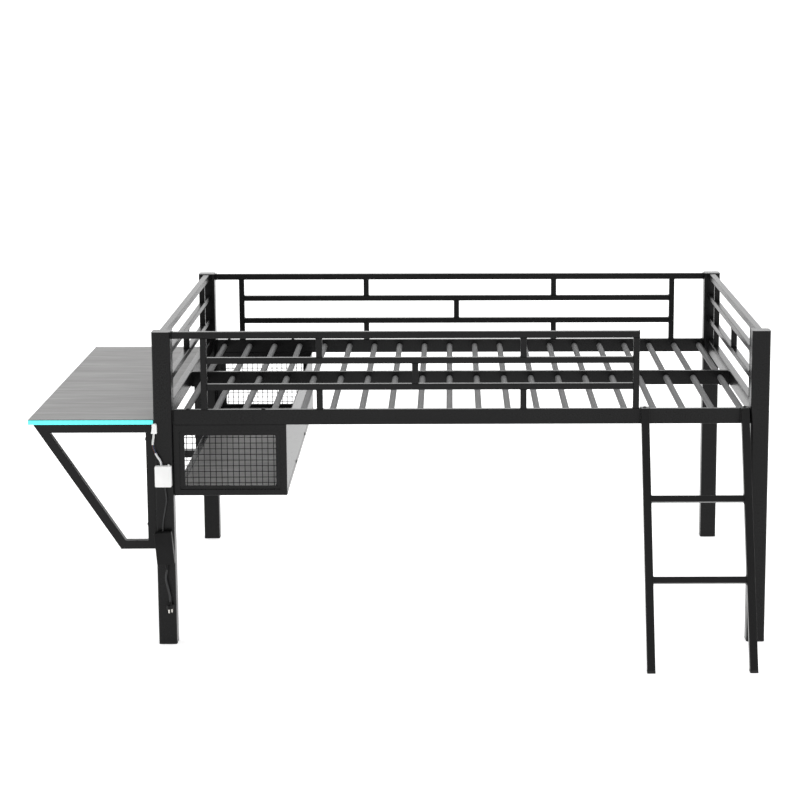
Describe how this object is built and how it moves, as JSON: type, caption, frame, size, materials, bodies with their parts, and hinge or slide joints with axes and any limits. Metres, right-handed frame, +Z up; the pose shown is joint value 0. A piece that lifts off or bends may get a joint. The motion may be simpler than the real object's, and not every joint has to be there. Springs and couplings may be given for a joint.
{
  "type": "loft bed with desk",
  "caption": "Low loft bed of black square tube with slatted deck, guard rails, hook-on ladder, lit side desk and mesh storage box.",
  "frame": {"origin": "on the floor, below the centre of the assembly's box", "axes": "+X along the bed towards the ladder end, away from the desk; +Y from the ladder side to the back; +Z up"},
  "size_m": [2.4102, 1.862, 1.04],
  "materials": {
    "powder_coat": "fine matte black powder coat",
    "slat_coat": "satin black powder coat",
    "board": "grey grained laminate board",
    "light": "clear silicone light strip, lit cyan",
    "white_plastic": "smooth white moulding",
    "black_plastic": "fine spark-eroded black moulding",
    "lead_sleeve": "soft white sleeve",
    "black_cord": "soft black cord jacket",
    "foot_pad": "matte black foot pad",
    "bolt_steel": "black coated bolt head",
    "blade_metal": "plated plug blades",
    "pad_foam": "white adhesive foam"
  },
  "bodies": {
    "bed": {"post_front_left": "powder_coat", "post_front_right": "powder_coat", "post_rear_left": "powder_coat", "post_rear_right": "powder_coat", "post_caps": "powder_coat", "post_feet": "foot_pad", "side_rail_front": "powder_coat", "side_rail_rear": "powder_coat", "rail_end_plates": "powder_coat", "end_rail_left": "powder_coat", "end_rail_right": "powder_coat", "panel_left_top_rail": "powder_coat", "panel_left_mid_rails": "powder_coat", "panel_left_uprights": "powder_coat", "panel_right_top_rail": "powder_coat", "panel_right_mid_rails": "powder_coat", "panel_right_uprights": "powder_coat", "centre_beam": "powder_coat", "beam_brackets": "powder_coat", "slats_front": "slat_coat", "slats_rear": "slat_coat", "guard_front_top_rail": "powder_coat", "guard_front_mid_rails": "powder_coat", "guard_front_uprights": "powder_coat", "guard_front_spacers": "powder_coat", "guard_rear_top_rail": "powder_coat", "guard_rear_mid_rails": "powder_coat", "guard_rear_uprights": "powder_coat", "guard_rear_spacers": "powder_coat", "desk_board": "board", "desk_bracket_front": "powder_coat", "desk_bracket_rear": "powder_coat", "light_strip": "light", "box_front_frame": "powder_coat", "box_rear_frame": "powder_coat", "box_front_mesh": "powder_coat", "box_rear_mesh": "powder_coat", "box_bottom_tubes": "powder_coat", "box_shelf_board": "board", "box_side_panel": "powder_coat", "box_bolts": "bolt_steel", "light_connector": "white_plastic", "light_lead": "lead_sleeve", "light_controller": "white_plastic", "controller_lead": "black_cord", "power_adapter": "black_plastic", "adapter_gland": "black_plastic", "mounting_pads": "pad_foam", "mains_lead": "black_cord", "plug_body": "black_plastic", "plug_blades": "blade_metal", "bed_bolts": "bolt_steel", "desk_bolts": "bolt_steel", "box_hanger_bolts": "bolt_steel"},
    "ladder": {"ladder_stiles": "powder_coat", "ladder_rungs": "powder_coat", "ladder_hooks": "powder_coat", "ladder_rivets": "powder_coat", "ladder_feet": "foot_pad"}
  },
  "joints": [
    {"name": "ladder_lift", "type": "slide", "parent": "bed", "child": "ladder", "axis": [0, 0, 1], "range_m": [0, 0.08]}
  ]
}
